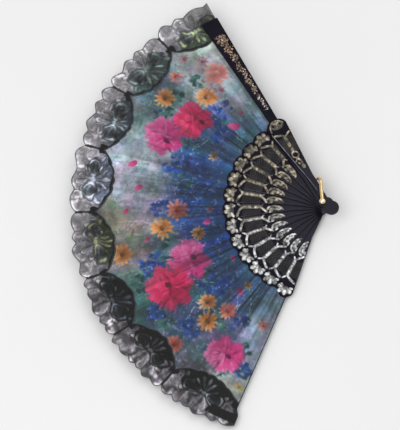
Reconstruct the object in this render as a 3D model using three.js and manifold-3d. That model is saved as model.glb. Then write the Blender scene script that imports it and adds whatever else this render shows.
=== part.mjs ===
// A folding hand fan, opened flat. Two guards and eleven sticks turn on one brass rivet and carry a pleated
// satin leaf with a lace edge. A wire bail for a cord turns on the same rivet.
// Millimetres. +Z is the front face, +Y runs from the rivet to the middle of the leaf, and the origin is on
// the rivet's axis at its rear face. Every stick has its own layer in Z, so the fan folds without touching.
import * as THREE from "three";
import { mergeVertices } from "three/addons/utils/BufferGeometryUtils.js";
import Module from "manifold-3d";

const wasm = await Module();
wasm.setup();

// The fan as a whole
const STICKS = 13; // both guards counted
const OPENING = THREE.MathUtils.degToRad(126.6); // from guard to guard
const FOLD = OPENING / (STICKS - 1); // from one stick to the next
const GAP = 0.3; // between pieces that move past each other

// Sticks: outlines lie along +X from the rivet
const HUB_RADIUS = 5.5;
const NECK_LENGTH = 30;
const NECK_HALF = 3.0;
const SHOULDER_RADIUS = 88; // where the rounded shoulder starts
const SHOULDER_HALF = 8.7;
const SHOULDER_ROUND = 4.6; // how far the rounded end reaches past it
const LIP_LENGTH = 3.2; // thin end of the shoulder, which covers the leaf's inner edge
const RIB_HALF = 2.4;
const RIB_END = 214;
const HUB_THICK = 0.85;
const PLATE_THICK = 0.6;
const LIP_THICK = 0.2;
const RIB_THICK = 0.25;

// Guards
const GUARD_THICK = 2.0;
const BLADE_THICK = 1.4;
const GUARD_BEVEL = 0.3;
const GUARD_NECK_HALF = 3.2;
const GUARD_SHOULDER_RADIUS = 88;
const GUARD_SHOULDER_HALF = 8.9;
const GUARD_SHOULDER_ROUND = 7.5;
const BLADE_START = 80; // inside the shoulder
const BLADE_START_HALF = 4.4;
const BLADE_END = 215;
const BLADE_END_HALF = 7.6;

// The front guard is broader, and lies beside the rivet, towards the fan's outer edge. A thin backing plate
// of a stick's shape joins it to the rivet and closes the gap to the next stick.
const FRONT_NECK_HALF = 3.3;
const FRONT_NECK_SIDE = -3.5;
const FRONT_SHOULDER_HALF = 9.8;
const FRONT_SHOULDER_SIDE = -2.2;
const FRONT_BLADE_START_HALF = 3.8;
const FRONT_BLADE_START_SIDE = -2.4;
const FRONT_BLADE_END_HALF = 8.4;
const FRONT_BLADE_END_SIDE = -1.3;
const FRONT_HUB_RADIUS = 4.2;
const COLLAR_RADIUS = 6.0; // joins the neck to the knob
const COLLAR_BACK = 2.8;
const COLLAR_SIDE = -3.6;
const KNOB_RADIUS = 7.1; // rounded end of the front guard, beyond the rivet
const KNOB_BACK = 8.7;
const KNOB_SIDE = -4.8;

// Leaf and lace
const LEAF_INNER = SHOULDER_RADIUS + SHOULDER_ROUND + 0.4;
const LEAF_OUTER = 200;
const LACE_OUTER = 235;
const CLOTH_THICK = 0.2;
const SCALLOPS = 3; // small scallops of the lace edge between two sticks
const SCALLOP_DEPTH = 2.0;
const REAR_MARGIN = THREE.MathUtils.degToRad(1.3); // how far the leaf laps over the rear guard
const REAR_LACE_MARGIN = THREE.MathUtils.degToRad(3.0); // the lace flares out past it
const FRONT_MARGIN = THREE.MathUtils.degToRad(2.2); // how far leaf and lace pass under the front guard

// Rivet and bail
const PIN_RADIUS = 1.6;
const HOLE_RADIUS = PIN_RADIUS + GAP;
const HEAD_RADIUS = 2.2;
const HEAD_HEIGHT = 1.0;
const WIRE = 2.3; // thickness of the bail's flattened wire
const WIRE_WIDE = 3.4;
const EYE_RADIUS = 2.7;
const BAIL_LEG = 21; // length of its straight legs
const BAIL_REACH = 27; // from the rivet's axis to the middle of its bend
const BAIL_REST = THREE.MathUtils.degToRad(1);
const BAIL_TWIST = THREE.MathUtils.degToRad(13); // the rear leg lies this much nearer to the guard
const TURN = 2 * Math.PI;

// Layers in Z, from the rear to the front
const rearEyeZ = HEAD_HEIGHT + GAP;
const rearGuardZ = rearEyeZ + WIRE + GAP;
const rearLeafZ = rearGuardZ + GUARD_THICK + GAP;
const firstStickZ = rearLeafZ + CLOTH_THICK + GAP;
const stickPitch = HUB_THICK + GAP;
const frontLeafZ = firstStickZ + (STICKS - 2) * stickPitch;
const frontGuardZ = frontLeafZ + CLOTH_THICK + GAP;
const frontEyeZ = frontGuardZ + GUARD_THICK + GAP;
const frontHeadZ = frontEyeZ + WIRE + GAP;

const fan = new THREE.Group();

// Materials: one new material for each piece
const blackPlastic = () => new THREE.MeshStandardMaterial({ color: 0x17151c, roughness: 0.35 });
const brass = () => new THREE.MeshStandardMaterial({ color: 0xc9a55a, roughness: 0.28, metalness: 1 });
const satin = () => new THREE.MeshStandardMaterial({ color: 0x3d5a86, roughness: 0.5 });
const lace = () => new THREE.MeshStandardMaterial({ color: 0x3b3d42, roughness: 0.85 });

// Joins and cuts of closed shapes
function solid(geometry) {
  const bare = geometry.index ? geometry.toNonIndexed() : geometry.clone();
  bare.deleteAttribute("normal");
  bare.deleteAttribute("uv");
  const merged = mergeVertices(bare, 1e-4);
  const vertProperties = new Float32Array(merged.attributes.position.array);
  const triVerts = new Uint32Array(merged.index.array);
  return new wasm.Manifold(new wasm.Mesh({ numProp: 3, vertProperties, triVerts }));
}

function geometryOf(body) {
  const { vertProperties, triVerts } = body.getMesh();
  const geometry = new THREE.BufferGeometry();
  geometry.setAttribute("position", new THREE.BufferAttribute(vertProperties, 3));
  geometry.setIndex(new THREE.BufferAttribute(triVerts, 1));
  return geometry;
}

const join = (bodies) => bodies.reduce((whole, body) => whole.add(body));

function plate(shape, bottom, thickness, bevel = 0) {
  const geometry = new THREE.ExtrudeGeometry(shape, {
    depth: thickness - 2 * bevel,
    bevelEnabled: bevel > 0,
    bevelSize: bevel,
    bevelThickness: bevel,
    bevelOffset: -bevel,
    bevelSegments: 2,
    curveSegments: 14,
  });
  geometry.translate(0, 0, bottom + bevel);
  return solid(geometry);
}

function disc(radius, bottom, thickness, x = 0, y = 0) {
  const shape = new THREE.Shape();
  shape.absarc(x, y, radius, 0, TURN, false);
  return plate(shape, bottom, thickness);
}

function addPiece(name, body, material, angle) {
  const mesh = new THREE.Mesh(geometryOf(body), material);
  mesh.name = name;
  mesh.rotation.z = angle;
  fan.add(mesh);
}

// A blade with a rounded shoulder: its sides run straight from the neck to the shoulder. Each side value is
// how far the middle of the outline lies from the line through the rivet.
function shoulderOutline(neckHalf, shoulder, half, round, neckSide = 0, side = 0) {
  const shape = new THREE.Shape();
  shape.moveTo(0, neckSide - neckHalf);
  shape.lineTo(NECK_LENGTH, neckSide - neckHalf);
  shape.lineTo(shoulder, side - half);
  shape.absellipse(shoulder, side, round, half, -Math.PI / 2, Math.PI / 2, false, 0);
  shape.lineTo(NECK_LENGTH, neckSide + neckHalf);
  shape.lineTo(0, neckSide + neckHalf);
  shape.closePath();
  return shape;
}

function bladeOutline(start, startHalf, end, endHalf, corner, startSide = 0, side = 0) {
  const shape = new THREE.Shape();
  shape.moveTo(start, startSide - startHalf);
  shape.lineTo(end - corner, side - endHalf);
  shape.quadraticCurveTo(end, side - endHalf, end, side - endHalf + corner);
  shape.lineTo(end, side + endHalf - corner);
  shape.quadraticCurveTo(end, side + endHalf, end - corner, side + endHalf);
  shape.lineTo(start, startSide + startHalf);
  shape.closePath();
  return shape;
}

// Inner sticks: a plate with a thicker hub, a thin lip at the shoulder's end and a flat rib under the leaf
function stickBody(bottom) {
  const outline = shoulderOutline(NECK_HALF, SHOULDER_RADIUS, SHOULDER_HALF, SHOULDER_ROUND);
  const shoulder = plate(outline, bottom, PLATE_THICK);
  const end = SHOULDER_RADIUS + SHOULDER_ROUND;
  const underLip = bladeOutline(end - LIP_LENGTH, SHOULDER_HALF + 2, end + 2, SHOULDER_HALF + 2, 0.5);
  const undercut = plate(underLip, bottom - 1, PLATE_THICK - LIP_THICK + 1);
  const rib = bladeOutline(SHOULDER_RADIUS - 2, RIB_HALF, RIB_END, RIB_HALF, 1.2);
  return join([shoulder.subtract(undercut), plate(rib, bottom, RIB_THICK), disc(HUB_RADIUS, bottom, HUB_THICK)])
    .subtract(disc(HOLE_RADIUS, bottom - 1, GUARD_THICK + 2));
}

// Guards: a bevelled shoulder and a long square-ended blade, which lies flush with the side near the leaf
function rearGuardBody(bottom) {
  const outline = shoulderOutline(
    GUARD_NECK_HALF, GUARD_SHOULDER_RADIUS, GUARD_SHOULDER_HALF, GUARD_SHOULDER_ROUND,
  );
  const blade = bladeOutline(BLADE_START, BLADE_START_HALF, BLADE_END, BLADE_END_HALF, 1.5);
  return join([
    plate(outline, bottom, GUARD_THICK, GUARD_BEVEL),
    plate(blade, bottom + GUARD_THICK - BLADE_THICK, BLADE_THICK, GUARD_BEVEL),
    disc(HUB_RADIUS, bottom, GUARD_THICK),
  ]).subtract(disc(HOLE_RADIUS, bottom - 1, GUARD_THICK + 2));
}

function frontGuardBody(bottom) {
  const outline = shoulderOutline(
    FRONT_NECK_HALF, GUARD_SHOULDER_RADIUS, FRONT_SHOULDER_HALF, GUARD_SHOULDER_ROUND,
    FRONT_NECK_SIDE, FRONT_SHOULDER_SIDE,
  );
  const blade = bladeOutline(
    BLADE_START, FRONT_BLADE_START_HALF, BLADE_END, FRONT_BLADE_END_HALF, 1.5,
    FRONT_BLADE_START_SIDE, FRONT_BLADE_END_SIDE,
  );
  const round = (radius, x, y) => {
    const shape = new THREE.Shape();
    shape.absarc(x, y, radius, 0, TURN, false);
    return plate(shape, bottom, GUARD_THICK, GUARD_BEVEL);
  };
  const backing = shoulderOutline(NECK_HALF, SHOULDER_RADIUS, SHOULDER_HALF, SHOULDER_ROUND);
  return join([
    plate(backing, bottom, PLATE_THICK),
    plate(outline, bottom, GUARD_THICK, GUARD_BEVEL),
    plate(blade, bottom, BLADE_THICK, GUARD_BEVEL),
    disc(FRONT_HUB_RADIUS, bottom, GUARD_THICK),
    round(COLLAR_RADIUS, -COLLAR_BACK, COLLAR_SIDE),
    round(KNOB_RADIUS, -KNOB_BACK, KNOB_SIDE),
  ]).subtract(disc(HOLE_RADIUS, bottom - 1, GUARD_THICK + 2));
}

// One panel of cloth: a ring sector from angle a to angle b, whose outer edge can be scalloped
function clothBody(inner, outer, a, b, bottom, scallops) {
  const steps = 18;
  const arc = (radius, t) => new THREE.Vector2(radius, 0).rotateAround(new THREE.Vector2(), a + (b - a) * t);
  const points = [];
  for (let i = 0; i <= steps; i += 1) {
    const t = i / steps;
    const dip = scallops ? SCALLOP_DEPTH * (1 - Math.abs(Math.sin(Math.PI * scallops * t))) : 0;
    points.push(arc(outer - dip, t));
  }
  for (let i = steps; i >= 0; i -= 3) points.push(arc(inner, i / steps));
  return plate(new THREE.Shape(points), bottom, CLOTH_THICK);
}

function addCloth(label, angle, from, to, bottom, scallops, laceTo = to) {
  const edge = 0.1 / LEAF_OUTER;
  const leaf = clothBody(LEAF_INNER, LEAF_OUTER, from + edge, to - edge, bottom, 0);
  const trim = clothBody(LEAF_OUTER + GAP, LACE_OUTER, from + edge, laceTo - edge, bottom, scallops);
  addPiece(`leaf_panel_${label}`, leaf, satin(), angle);
  addPiece(`lace_panel_${label}`, trim, lace(), angle);
}

const stickAngle = (i) => Math.PI / 2 + OPENING / 2 - i * FOLD;
const half = FOLD / 2;

// Rear guard, with the first half panel of the leaf in front of it
const rearAngle = stickAngle(0);
addPiece("rear_guard", rearGuardBody(rearGuardZ), blackPlastic(), rearAngle);
addCloth("00", rearAngle, -half, REAR_MARGIN, rearLeafZ, 0, REAR_LACE_MARGIN);

// Inner sticks, each with the panel of the leaf that is glued to its rib
for (let i = 1; i < STICKS - 1; i += 1) {
  const label = String(i).padStart(2, "0");
  const bottom = firstStickZ + (i - 1) * stickPitch;
  addPiece(`stick_${label}`, stickBody(bottom), blackPlastic(), stickAngle(i));
  addCloth(label, stickAngle(i), -half, half, bottom + RIB_THICK + GAP, SCALLOPS);
}

// Front guard, over the last half panel
const frontAngle = stickAngle(STICKS - 1);
addCloth(String(STICKS - 1), frontAngle, -FRONT_MARGIN, half, frontLeafZ, 0);
addPiece("front_guard", frontGuardBody(frontGuardZ), blackPlastic(), frontAngle);

// Rivet: a pin with a flat rear head and a domed front head
const rivetProfile = [
  [0, 0], [HEAD_RADIUS, 0], [HEAD_RADIUS, HEAD_HEIGHT], [PIN_RADIUS, HEAD_HEIGHT],
  [PIN_RADIUS, frontHeadZ], [HEAD_RADIUS, frontHeadZ], [HEAD_RADIUS * 0.93, frontHeadZ + HEAD_HEIGHT * 0.5],
  [HEAD_RADIUS * 0.7, frontHeadZ + HEAD_HEIGHT * 0.85], [HEAD_RADIUS * 0.35, frontHeadZ + HEAD_HEIGHT],
  [0, frontHeadZ + HEAD_HEIGHT],
].map(([radius, z]) => new THREE.Vector2(radius, z));
const rivet = new THREE.LatheGeometry(rivetProfile, 28);
rivet.rotateX(Math.PI / 2);
addPiece("rivet", solid(rivet), brass(), 0);

// Bail: one wire from the front eye, round the side of the sticks, to the rear eye
function bailBody() {
  const at = (radius, angle, z) => new THREE.Vector3(radius * Math.cos(angle), radius * Math.sin(angle), z);
  const frontZ = frontEyeZ + WIRE / 2;
  const rearZ = rearEyeZ + WIRE / 2;
  const drop = frontZ - rearZ;
  const path = new THREE.CurvePath();
  const leg = (z, angle) => [at(EYE_RADIUS - 1, angle, z), at(BAIL_LEG, angle, z)];
  const [frontStart, frontEnd] = leg(frontZ, 0);
  const [rearStart, rearEnd] = leg(rearZ, BAIL_TWIST);
  const bend = new THREE.CubicBezierCurve3(
    frontEnd,
    at(BAIL_LEG + (BAIL_REACH - BAIL_LEG) * 4 / 3, 0, frontZ - drop * 0.02),
    at(BAIL_LEG + (BAIL_REACH - BAIL_LEG) * 4 / 3, BAIL_TWIST, rearZ + drop * 0.02),
    rearEnd,
  );
  path.add(new THREE.LineCurve3(frontStart, frontEnd));
  path.add(bend);
  path.add(new THREE.LineCurve3(rearEnd, rearStart));
  const section = new THREE.Shape();
  section.absellipse(0, 0, WIRE / 2, WIRE_WIDE / 2, 0, TURN, false);
  const wire = new THREE.ExtrudeGeometry(section, { steps: 60, curveSegments: 6, extrudePath: path });
  const eyes = [frontEyeZ, rearEyeZ].map((z) => disc(EYE_RADIUS, z, WIRE));
  return join([solid(wire), ...eyes]).subtract(disc(HOLE_RADIUS, -1, frontHeadZ + 2));
}
addPiece("bail", bailBody(), brass(), BAIL_REST);

export default fan;
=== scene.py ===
"""Looks of a folding hand fan: pleated printed satin, corded lace and black sticks with gilt relief."""
from math import cos, pi, radians, sin

import bpy
import numpy as np
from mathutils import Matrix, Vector


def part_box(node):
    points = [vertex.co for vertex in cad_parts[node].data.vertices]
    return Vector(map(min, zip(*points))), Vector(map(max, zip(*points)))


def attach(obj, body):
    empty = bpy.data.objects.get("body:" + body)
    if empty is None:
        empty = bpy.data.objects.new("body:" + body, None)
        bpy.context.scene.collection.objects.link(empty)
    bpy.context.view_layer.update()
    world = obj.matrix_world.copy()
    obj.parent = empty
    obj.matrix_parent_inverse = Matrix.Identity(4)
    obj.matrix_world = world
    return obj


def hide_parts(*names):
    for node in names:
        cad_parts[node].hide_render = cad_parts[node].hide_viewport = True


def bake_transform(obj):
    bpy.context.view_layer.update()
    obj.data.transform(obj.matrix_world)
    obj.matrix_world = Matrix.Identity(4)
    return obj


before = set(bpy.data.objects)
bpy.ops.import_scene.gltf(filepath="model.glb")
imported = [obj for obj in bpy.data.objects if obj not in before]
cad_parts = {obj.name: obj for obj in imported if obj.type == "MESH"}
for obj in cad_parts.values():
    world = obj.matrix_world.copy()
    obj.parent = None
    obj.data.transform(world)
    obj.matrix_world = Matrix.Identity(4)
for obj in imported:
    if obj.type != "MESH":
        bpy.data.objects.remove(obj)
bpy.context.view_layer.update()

# ---------------- driving dimensions, in millimetres
MM = 0.001
STICKS = 13
OPENING = radians(126.6)
FOLD = OPENING / (STICKS - 1)

STICK_SPAN = (30.0, 88.0)  # from the neck to the shoulder
STICK_HALF = (3.0, 8.7)  # half widths at the neck and at the shoulder
REAR_GUARD_HALF = (3.2, 8.9)
FRONT_GUARD_HALF = (3.3, 9.8)
FRONT_GUARD_SIDE = (-3.5, -2.2)  # sideways place of the front guard's middle
PLATE_THICK = 0.6
BLADE_THICK = 1.4
BLADE_SPAN = (80.0, 215.0)
REAR_BLADE_HALF = (4.4, 7.6)
FRONT_BLADE_HALF = (3.8, 8.4)
FRONT_BLADE_SIDE = (-2.4, -1.3)
LEAF_OVER_RIB = 0.33
RELIEF_HIGH = 0.46  # the beads of a closed stick clear the stick above
GUARD_RELIEF_END, STICK_RELIEF_END = 95.0, 92.4

LEAF_INNER = 90.6
LEAF_OVER_GUARD = 96.4  # the leaf's inner edge by the rear guard's shoulder
LEAF_OUTER = 217.0
LEAF_STEP = 0.75
LACE_STEP = 0.6
LACE_OUTER = 235.0
LACE_CUSP = 210.5  # the inner edge where two lobes meet
LOBE_DEPTH = 15.4  # how much further in the middle of a lobe reaches
LACE_DEPTH = 40.0
SCALLOP_HIGH = 3.4
NOTCH_DEEP = 2.0  # of the outer edge between two lobes
LACE_RISE = 0.09  # over the leaf
THREAD_RISE = 0.45  # of the thickest threads over the net
CLOTH_THICK = 0.05
OVER_REAR_GUARD = 0.1
UNDER_FRONT_GUARD = 0.15
TUCK_END = 94.0  # up to here the leaf stays low between two sticks and climbs late, to pass under the lips
FOLDS_START = 100.0
PLEAT_RISE = 1.6  # how far the folds stand above and below the ribs at the leaf's outer edge
LOW_PLEATS = {0: 0.5, STICKS - 3: 0.9, STICKS - 2: 0.3}  # the same where the guards press them flat
FIRST_FOLD = 0.268  # share of a gore's width where it folds up; it folds down as far from its other stick
RIB_FLAT = 3.0  # half width of the cloth that lies flat on a rib
REAR_MARGIN = radians(1.3)  # how far the leaf laps over the rear guard
REAR_LACE_MARGIN = radians(3.0)
LEAF_INSIDE_GUARD, LACE_INSIDE_GUARD = 0.6, 0.3  # how far they stop short of the rear guard's edge
FRONT_MARGIN = radians(2.2)  # how far leaf and lace pass under the front guard
CUSPS = np.array([22.0, 39.0, 55.5, 71.5, 88.8, 105.5, 120.8, 137.0, 155.0])  # between the lobes, degrees
LOBE_SCALLOPS = np.array([4, 4, 4, 3, 4, 5, 6, 6])  # on the outer edge of each lobe, from the front guard


def stick_angle(i):
    return pi / 2 + OPENING / 2 - i * FOLD


def body_of(i):
    return "rear_guard" if i == 0 else "front_guard" if i == STICKS - 1 else f"stick_{i:02d}"


def leaf_height(i):
    """Height of the leaf on stick i, in millimetres."""
    low, high = (corner.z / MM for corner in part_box(body_of(i)))
    if i == 0:
        return high + OVER_REAR_GUARD
    if i == STICKS - 1:
        return low - UNDER_FRONT_GUARD
    return low + LEAF_OVER_RIB


# ---------------- small helpers
def smooth(t):
    """A soft step from 0 to 1."""
    t = np.clip(t, 0, 1)
    return t * t * (3 - 2 * t)


def polar(r, angle):
    return r * np.cos(angle), r * np.sin(angle)


def linear(colour):
    """sRGB, 0 to 255, to linear light."""
    c = np.asarray(colour, float) / 255
    return np.where(c <= 0.04045, c / 12.92, ((np.maximum(c, 0) + 0.055) / 1.055) ** 2.4)


def noise(x, y, size, seed):
    """Smooth random values from 0 to 1, whose blobs are about size wide. seed picks the pattern."""
    cells, start = 64, 1000
    grid = np.random.default_rng(seed).random((cells, cells))
    fx, fy = x / size + start, y / size + start
    ix, iy = np.floor(fx).astype(int), np.floor(fy).astype(int)
    tx, ty = smooth(fx - ix), smooth(fy - iy)

    def corner(i, j):
        return grid[(ix + i) % cells, (iy + j) % cells]

    low = corner(0, 0) * (1 - tx) + corner(1, 0) * tx
    high = corner(0, 1) * (1 - tx) + corner(1, 1) * tx
    return low * (1 - ty) + high * ty


def cloudy(x, y, size, seed):
    """Three layers of noise, each half as wide and half as strong as the one before."""
    layers = [noise(x, y, size / 2 ** k, seed + k) / 2 ** k for k in range(3)]
    return sum(layers) / 1.75


def beyond(x, y, reach, angle):
    """The point that lies at a reach and an angle from (x, y)."""
    return x + reach * cos(angle), y + reach * sin(angle)


def mirrored(angle, side):
    """The angle on side 1, and its mirror image on side -1."""
    return angle if side > 0 else pi - angle


def headings(path):
    """Unit vectors along a path."""
    along = np.gradient(path, axis=0)
    return along / np.linalg.norm(along, axis=1)[:, None]


def between(pair, span, r):
    """A length that grows evenly from pair[0] to pair[1] over the span of distances."""
    return pair[0] + (pair[1] - pair[0]) * (r - span[0]) / (span[1] - span[0])


def mesh_object(name, points, faces, attributes=(), materials=(), material_index=None):
    """points in millimetres. attributes are (name, values): a colour where values has four columns."""
    mesh = bpy.data.meshes.new(name)
    mesh.from_pydata((np.asarray(points) * MM).tolist(), [], faces)
    for label, values in attributes:
        values = np.asarray(values, np.float32)
        is_colour = values.ndim == 2
        layer = mesh.attributes.new(label, "FLOAT_COLOR" if is_colour else "FLOAT", "POINT")
        layer.data.foreach_set("color" if is_colour else "value", values.ravel())
    for material in materials:
        mesh.materials.append(material)
    if material_index is not None:
        mesh.polygons.foreach_set("material_index", np.asarray(material_index, np.int32))
    mesh.polygons.foreach_set("use_smooth", np.ones(len(mesh.polygons), bool))
    mesh.update()
    obj = bpy.data.objects.new(name, mesh)
    bpy.context.scene.collection.objects.link(obj)
    return obj


def grid_faces(rows, columns, start=0, flip=False):
    """Quads of a grid of points. flip turns them to face up."""
    i, j = np.meshgrid(np.arange(rows - 1), np.arange(columns - 1), indexing="ij")
    a = (start + i * columns + j).ravel()
    quads = np.stack([a, a + 1, a + columns + 1, a + columns], 1)
    return (quads[:, ::-1] if flip else quads).tolist()


# ---------------- materials
class Nodes:
    """A Principled material and short ways to add nodes to it."""

    def __init__(self, name, **sockets):
        self.material = bpy.data.materials.new(name)
        self.material.use_nodes = True
        self.tree = self.material.node_tree
        self.shader = self.tree.nodes["Principled BSDF"]
        for label, value in sockets.items():
            self.shader.inputs[label.replace("_", " ")].default_value = value

    def add(self, kind, **settings):
        node = self.tree.nodes.new(f"ShaderNode{kind}")
        for label, value in settings.items():
            if label in node.inputs:
                node.inputs[label].default_value = value
            else:
                setattr(node, label, value)
        return node

    def link(self, output, target):
        self.tree.links.new(output, target)

    def drive(self, socket, output):
        self.link(output, self.shader.inputs[socket])

    def coordinates(self):
        return self.add("TexCoord").outputs["Object"]

    def noise(self, scale, detail=3.0, distortion=0.0):
        node = self.add("TexNoise", Scale=scale, Detail=detail, Distortion=distortion)
        self.link(self.coordinates(), node.inputs["Vector"])
        return node.outputs["Fac"]

    def remap(self, value, **ends):
        node = self.add("MapRange", **ends)
        self.link(value, node.inputs["Value"])
        return node.outputs["Result"]

    def outwards(self, near, far):
        """0 nearer to the rivet than near, and 1 beyond far."""
        distance = self.add("VectorMath", operation="LENGTH")
        self.link(self.coordinates(), distance.inputs[0])
        return self.remap(distance.outputs["Value"], **{"From Min": near, "From Max": far})

    def ramp(self, value, stops):
        """Colours along value; a stop's colour may be one number, for a grey."""
        node = self.add("ValToRGB")
        elements = node.color_ramp.elements
        while len(elements) < len(stops):
            elements.new(0.5)
        for element, (at, colour) in zip(elements, stops):
            element.position = at
            element.color = (*np.broadcast_to(colour, 3), 1)
        self.link(value, node.inputs["Fac"])
        return node.outputs["Color"]

    def spread(self, value, low, high):
        """value, from 0 to 1, as a value from low to high."""
        return self.remap(value, **{"To Min": low, "To Max": high})

    def bump(self, height, distance, strength=1.0, before=None):
        node = self.add("Bump", Strength=strength, Distance=distance)
        self.link(height, node.inputs["Height"])
        if before is not None:
            self.link(before, node.inputs["Normal"])
        return node.outputs["Normal"]

    def attribute(self, name, output="Fac"):
        return self.add("Attribute", attribute_name=name).outputs[output]

    def clamped(self, operation, first, second):
        node = self.add("Math", operation=operation, use_clamp=True)
        self.link(first, node.inputs[0])
        self.link(second, node.inputs[1])
        return node.outputs["Value"]

    def tint(self, colour, factor, amount_low, amount_high):
        """colour made darker or lighter by factor, from 0 to 1."""
        node = self.add("MixRGB", blend_type="MULTIPLY", Fac=1.0)
        self.link(colour, node.inputs["Color1"])
        self.link(self.spread(factor, amount_low, amount_high), node.inputs["Color2"])
        return node.outputs["Color"]


def black_plastic():
    """Black plastic with a cold sheen by the rivet, and duller further out, on the ornament's panels. By the
    rivet the sheen is partly a painted reflection: a paler base colour.
    """
    m = Nodes("black_plastic")
    grain, cloud = m.noise(900.0), m.noise(60.0)
    outwards = m.outwards(0.042, 0.058)
    m.drive("Specular IOR Level", m.spread(outwards, 0.2, 0.07))
    tone = m.ramp(cloud, [(0.3, (0.0055, 0.0045, 0.0105)), (0.7, (0.011, 0.0085, 0.02))])
    # painted reflection: the base colour is paler by the rivet, and 0.7 times as light out on the panels
    m.drive("Base Color", m.tint(tone, outwards, 1.0, 0.7))
    m.drive("Roughness", m.spread(cloud, 0.24, 0.4))
    m.drive("Normal", m.bump(grain, 0.00003))
    return m.material


def highlight_edge_and_net(name, dark, light):
    """Plastic for thin lines. On the sticks' edges its pale tone is a painted highlight, dimmer by the
    rivet. The net uses it in its own dark tones.
    """
    m = Nodes(name, Specular_IOR_Level=0.4, Roughness=0.35)
    tone = m.ramp(m.noise(160.0, detail=5.0), [(0.35, dark), (0.65, light)])
    m.drive("Base Color", m.tint(tone, m.outwards(0.018, 0.055), 0.12, 1.0))
    m.drive("Normal", m.bump(m.noise(900.0), 0.00003))
    return m.material


def brass(name, dark, light):
    """Polished metal, a little cloudy."""
    m = Nodes(name, Metallic=1.0)
    cloud = m.noise(220.0, detail=5.0)
    m.drive("Base Color", m.ramp(cloud, [(0.3, dark), (0.7, light)]))
    m.drive("Roughness", m.spread(cloud, 0.16, 0.34))
    m.drive("Normal", m.bump(m.noise(1500.0), 0.00002))
    return m.material


def gilt(name, warm):
    """Metal paint, rubbed off the flanks of the relief. The near-black flanks are also painted shade, and
    the palest patches are painted glints: gold where warm is 1, silver where it is 0.
    """
    gold, silver = np.array([0.205, 0.18, 0.135]), np.array([0.43, 0.44, 0.445])
    base = silver + (gold - silver) * warm
    m = Nodes(name, Metallic=0.35)
    cloud = m.noise(260.0, detail=6.0)
    # painted glints: the paint's palest patches
    painted_glint = np.minimum(base * 3.3, 0.92)
    paint = m.ramp(cloud, [(0.36, base * 0.2), (0.48, base * 0.8), (0.58, base * 1.7), (0.68, painted_glint)])
    height = m.clamped("ADD", m.attribute("gild"), m.spread(m.noise(380.0, detail=2.0), -0.3, 0.3))
    # painted shade: the relief's flanks go near black, partly as rubbed-off paint
    flank_shade = m.add("MixRGB", blend_type="MIX", Color1=(0.018, 0.013, 0.009, 1))
    m.link(m.ramp(height, [(0.12, 0), (0.45, 0.3), (0.85, 1)]), flank_shade.inputs["Fac"])
    m.link(paint, flank_shade.inputs["Color2"])
    m.drive("Base Color", flank_shade.outputs["Color"])
    m.drive("Roughness", m.spread(cloud, 0.5, 0.26))
    m.drive("Normal", m.bump(m.noise(1300.0, detail=4.0), 0.00012))
    return m.material


def printed_satin(name, pale):
    """The print, with the pleats' painted shade, is painted on the mesh. pale is how far the cloth's back
    fades it.
    """
    m = Nodes(name, Sheen_Weight=0.25, Sheen_Roughness=0.35, Specular_IOR_Level=0.3)
    colour = m.attribute("print", "Color")
    if pale:
        fade = m.add("MixRGB", blend_type="MIX", Fac=pale, Color2=(0.40, 0.43, 0.47, 1))
        m.link(colour, fade.inputs["Color1"])
        colour = fade.outputs["Color"]
    weave = m.add("TexWave", Scale=1100.0, Distortion=1.5, Detail=1.0)
    m.link(m.coordinates(), weave.inputs["Vector"])
    m.drive("Base Color", m.tint(colour, m.noise(500.0), 0.86, 1.12))
    m.drive("Roughness", m.spread(m.noise(90.0), 0.38, 0.55))
    folds = m.bump(m.attribute("relief"), MM)
    m.drive("Normal", m.bump(weave.outputs["Fac"], 0.00004, 0.5, folds))
    return m.material


def net_and_thread():
    """Thread colour, with its painted light and shade, cover and relief are painted on the mesh. The open
    net shows what is behind it.
    """
    m = Nodes("lace_net", Roughness=0.75, Sheen_Weight=0.2, Specular_IOR_Level=0.3)
    mesh = m.add("TexVoronoi", Scale=900.0, feature="DISTANCE_TO_EDGE")
    m.link(m.coordinates(), mesh.inputs["Vector"])
    m.drive("Base Color", m.tint(m.attribute("thread", "Color"), m.noise(700.0), 0.75, 1.25))
    open_net = m.spread(mesh.outputs["Distance"], 1.12, 0.7)
    m.drive("Alpha", m.clamped("MULTIPLY", m.attribute("cover"), open_net))
    folds = m.bump(m.attribute("relief"), MM)
    m.drive("Normal", m.bump(m.noise(1400.0), 0.00008, 0.6, folds))
    return m.material


def lace_cord(name, dark, light):
    """Matt twisted thread."""
    m = Nodes(name, Roughness=0.7, Sheen_Weight=0.3)
    m.drive("Base Color", m.ramp(m.noise(130.0), [(0.35, dark), (0.65, light)]))
    m.drive("Normal", m.bump(m.noise(2200.0), 0.0001))
    return m.material


BLACK = black_plastic()
CORD = lace_cord("lace_cord", (0.006, 0.007, 0.009), (0.03, 0.032, 0.036))
RIM_CORD = lace_cord("rim_cord", (0.02, 0.019, 0.023), (0.15, 0.145, 0.155))
# painted highlights: pale lines along the edges of the sticks and of the front guard
EDGE_HIGHLIGHT = highlight_edge_and_net("highlight_edge_and_net", (0.010, 0.009, 0.017), (0.085, 0.08, 0.115))
FRONT_EDGE_HIGHLIGHT = highlight_edge_and_net("front_edge_highlight", (0.13, 0.12, 0.16), (0.34, 0.32, 0.36))
WORN_NET = highlight_edge_and_net("worn_net", (0.006, 0.005, 0.006), (0.034, 0.030, 0.025))
BRASS = brass("polished_brass", (0.60, 0.38, 0.15), (0.86, 0.68, 0.36))
PALE_BRASS = brass("pale_brass", (0.72, 0.62, 0.46), (0.93, 0.88, 0.78))
SATIN, SATIN_BACK = printed_satin("printed_satin", 0.0), printed_satin("satin_back", 0.55)
LACE = net_and_thread()


# ---------------- camera, light and floor
AZIMUTH, ELEVATION = -92.8, 66.3
DISTANCE, TARGET = 3.737, (-0.0014, 0.1137, 0.008)
LENS = 336.1
FLOOR_HALF = 6000.0


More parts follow.
